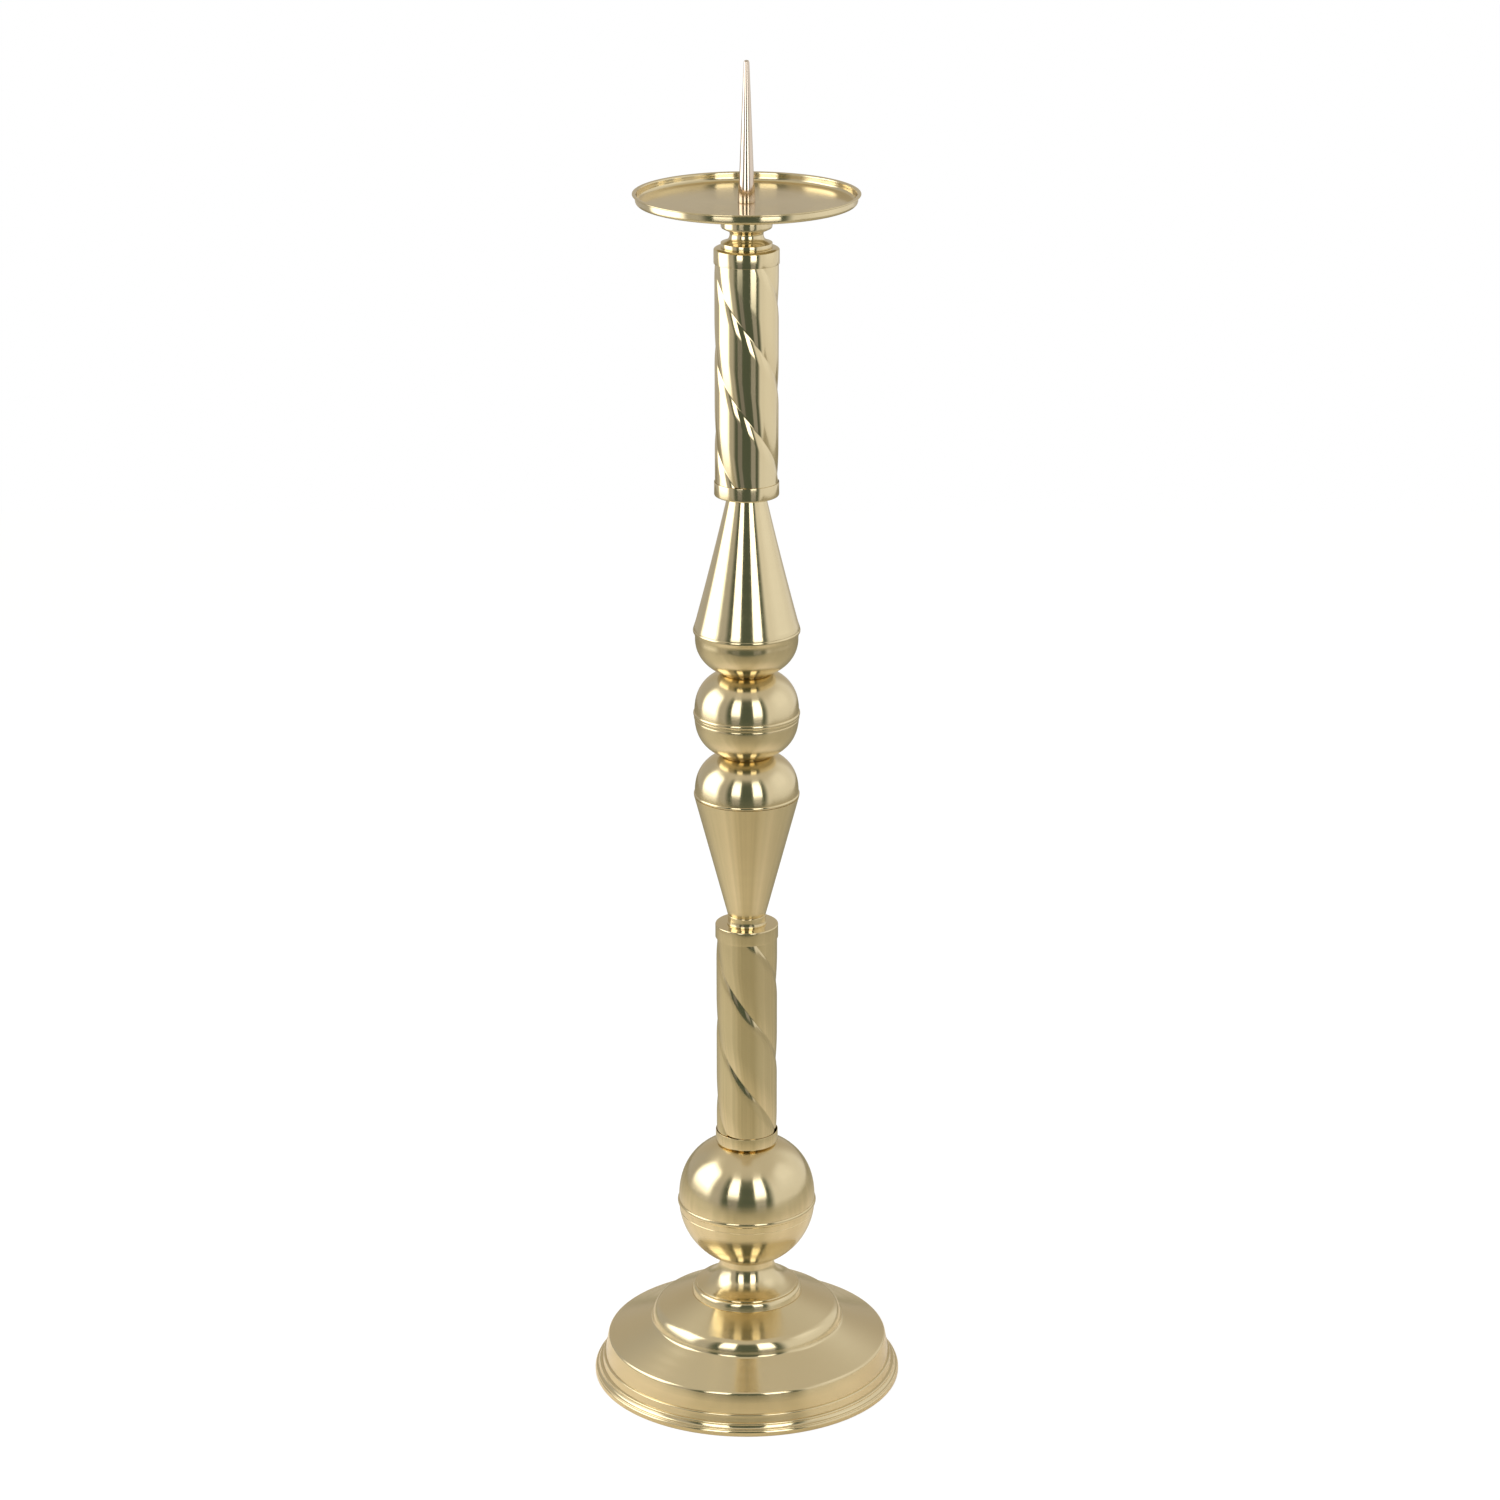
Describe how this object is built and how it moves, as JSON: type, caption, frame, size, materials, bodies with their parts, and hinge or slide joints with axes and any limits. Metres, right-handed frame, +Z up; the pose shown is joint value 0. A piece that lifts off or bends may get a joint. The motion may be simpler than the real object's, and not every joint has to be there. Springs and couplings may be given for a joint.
{
  "type": "paschal candlestick",
  "caption": "Tall floor-standing brass candlestick: stepped round base, balls, cones and spirally fluted tubes on a tie rod, with a loose drip pan and a spike for a large candle.",
  "frame": {"origin": "centre of the base, on the surface it stands on", "axes": "+Z up along the tie rod and the spike, -Y towards the viewer of the picture, +X to the viewer's right"},
  "size_m": [0.28, 0.28, 1.2112],
  "materials": {
    "brass": "polished and lacquered, with fine turning lines",
    "spike_brass": "polished, paler",
    "steel": "plain zinc-plated",
    "iron": "rough cast, dark"
  },
  "bodies": {
    "stand": {"base_shell": "brass", "base_neck": "brass", "ballast_disc": "iron", "clamp_washer": "steel", "lock_washer": "steel", "base_nut": "steel", "tie_rod": "steel", "large_ball_lower": "brass", "large_ball_upper": "brass", "lower_tube_ferrule": "brass", "lower_twist_tube": "brass", "lower_tube_cap": "brass", "cone_collar": "brass", "lower_cone": "brass", "lower_dome": "brass", "lower_ball_washer": "brass", "middle_ball_lower": "brass", "middle_ball_upper": "brass", "upper_ball_washer": "brass", "upper_bowl": "brass", "upper_cone": "brass", "upper_tube_ferrule": "brass", "upper_twist_tube": "brass", "upper_tube_cap": "brass", "neck_spool": "brass", "pan_seat": "brass"},
    "drip_pan": {"drip_pan": "brass"},
    "spike_washer": {"spike_washer": "steel"},
    "spike": {"spike": "spike_brass"}
  },
  "joints": [
    {"name": "pan_lift", "type": "slide", "parent": "stand", "child": "drip_pan", "axis": [0, 0, 1], "range_m": [0, 0.13]},
    {"name": "spike_rise", "type": "slide", "parent": "stand", "child": "spike_washer", "axis": [0, 0, 1], "range_m": [0, 0.009]},
    {"name": "spike_turn", "type": "hinge", "parent": "spike_washer", "child": "spike", "pos_m": [0, 0, 1.09], "axis": [0, 0, 1], "range_deg": [0, 2160]}
  ],
  "couplings": [
    {"joint": "spike_turn", "follows": "spike_rise", "rad_per_m": 4188.8}
  ]
}
